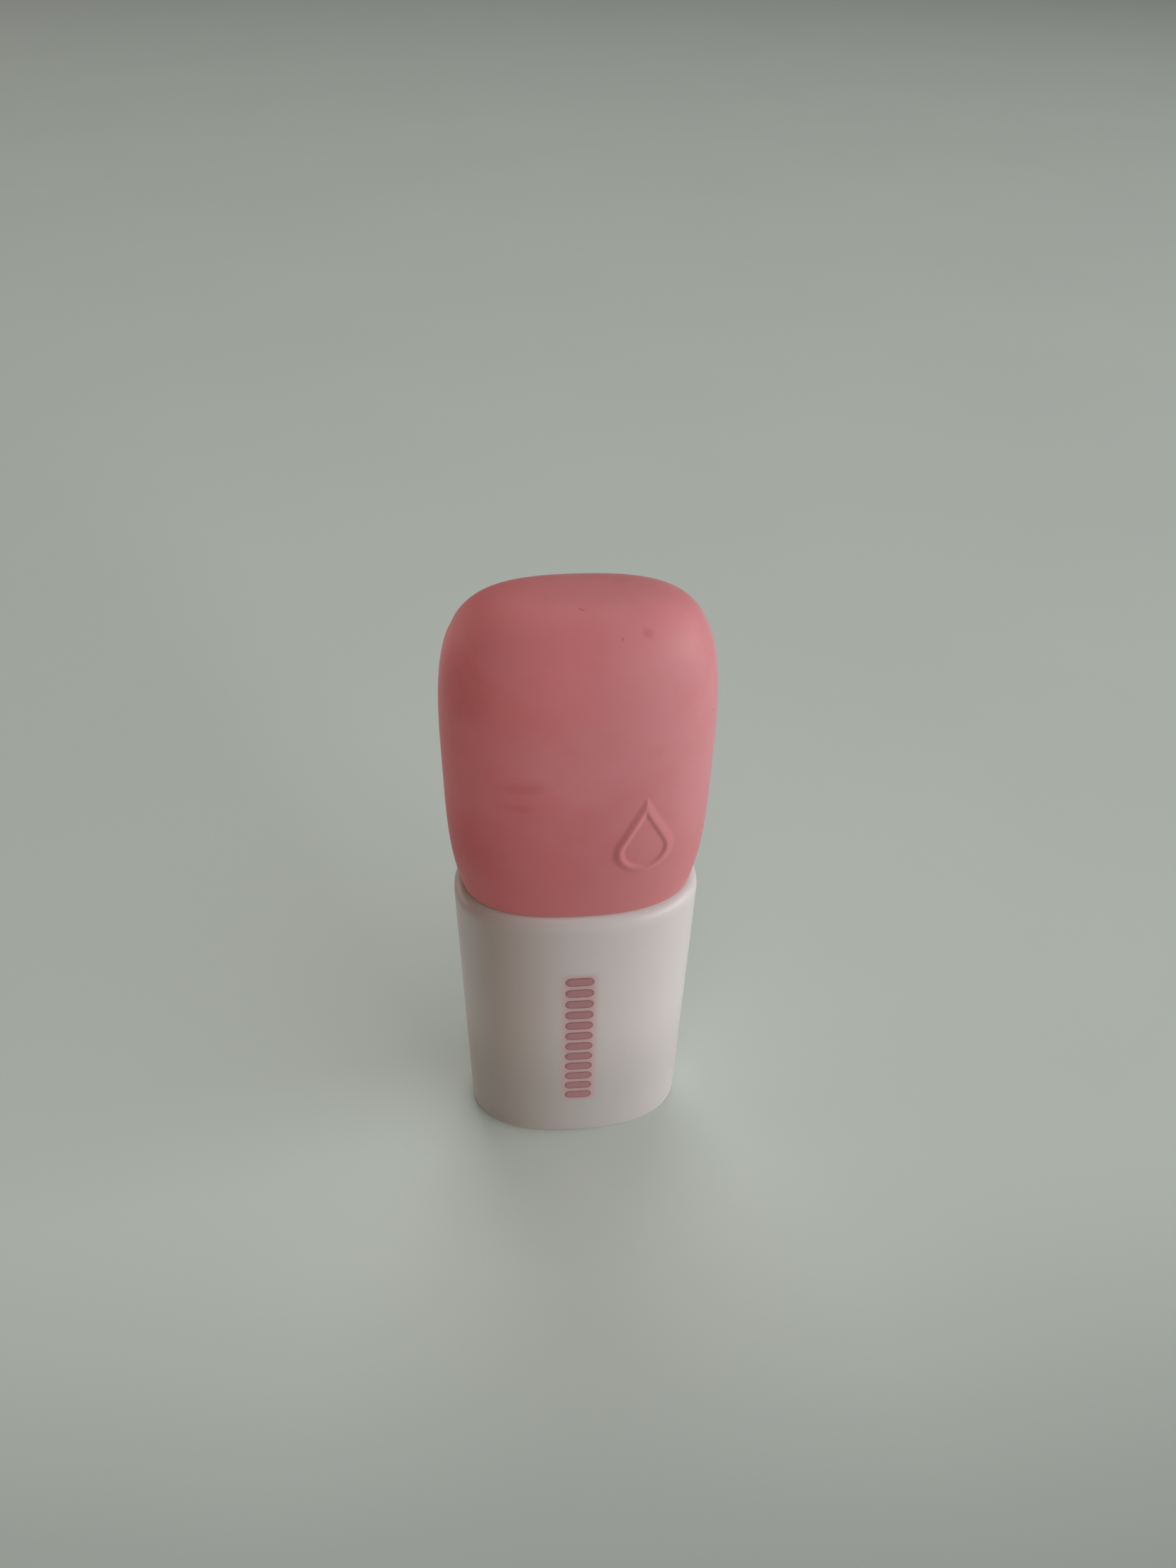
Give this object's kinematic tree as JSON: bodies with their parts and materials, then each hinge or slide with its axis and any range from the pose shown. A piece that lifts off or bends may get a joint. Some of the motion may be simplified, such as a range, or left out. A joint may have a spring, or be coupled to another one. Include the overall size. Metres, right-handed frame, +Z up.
{
  "type": "liquid lip tint bottle",
  "caption": "Flat oval lip tint bottle with a domed screw cap; the cap carries a stem with a flocked applicator tip that stands in the tint and is drawn out through a wiper in the neck.",
  "frame": {"origin": "middle of the bottle's base, on the surface that it stands on", "axes": "+Z up along the neck and the screw axis, +X across the wide side, -Y towards the printed front"},
  "size_m": [0.0272, 0.0157, 0.0755],
  "materials": {
    "bottle_plastic": "milk-white translucent thick-walled plastic, smooth satin gloss",
    "print": "thin matt pink pad print",
    "wiper_plastic": "soft natural polyethylene",
    "tint": "wet glossy rosy red liquid",
    "label": "bare white film label",
    "liner_foam": "white polyethylene foam",
    "stem_plastic": "smooth white plastic",
    "cap_coating": "coral pink soft-touch matt coating, fine grained, lightly scuffed",
    "inner_cap_plastic": "plain white moulded plastic",
    "flock": "short nylon flock stained by the tint"
  },
  "bodies": {
    "bottle": {"bottle": "bottle_plastic", "wiper": "wiper_plastic", "lip_tint": "tint", "base_label": "label"},
    "liner": {"cap_liner": "liner_foam"},
    "stem": {"applicator_stem": "stem_plastic"},
    "cap": {"cap_shell": "cap_coating", "inner_cap": "inner_cap_plastic", "applicator_tip": "flock"}
  },
  "joints": [
    {"name": "cap_lift", "type": "slide", "parent": "bottle", "child": "liner", "axis": [0, 0, 1], "range_m": [0, 0.05]},
    {"name": "cap_rise", "type": "slide", "parent": "liner", "child": "stem", "axis": [0, 0, 1], "range_m": [0, 0.0046]},
    {"name": "cap_turn", "type": "hinge", "parent": "stem", "child": "cap", "pos_m": [0, 0, 0.04], "axis": [0, 0, 1], "range_deg": [0, 540]}
  ],
  "couplings": [
    {"joint": "cap_rise", "follows": "cap_turn", "m_per_rad": 0.00047746}
  ]
}
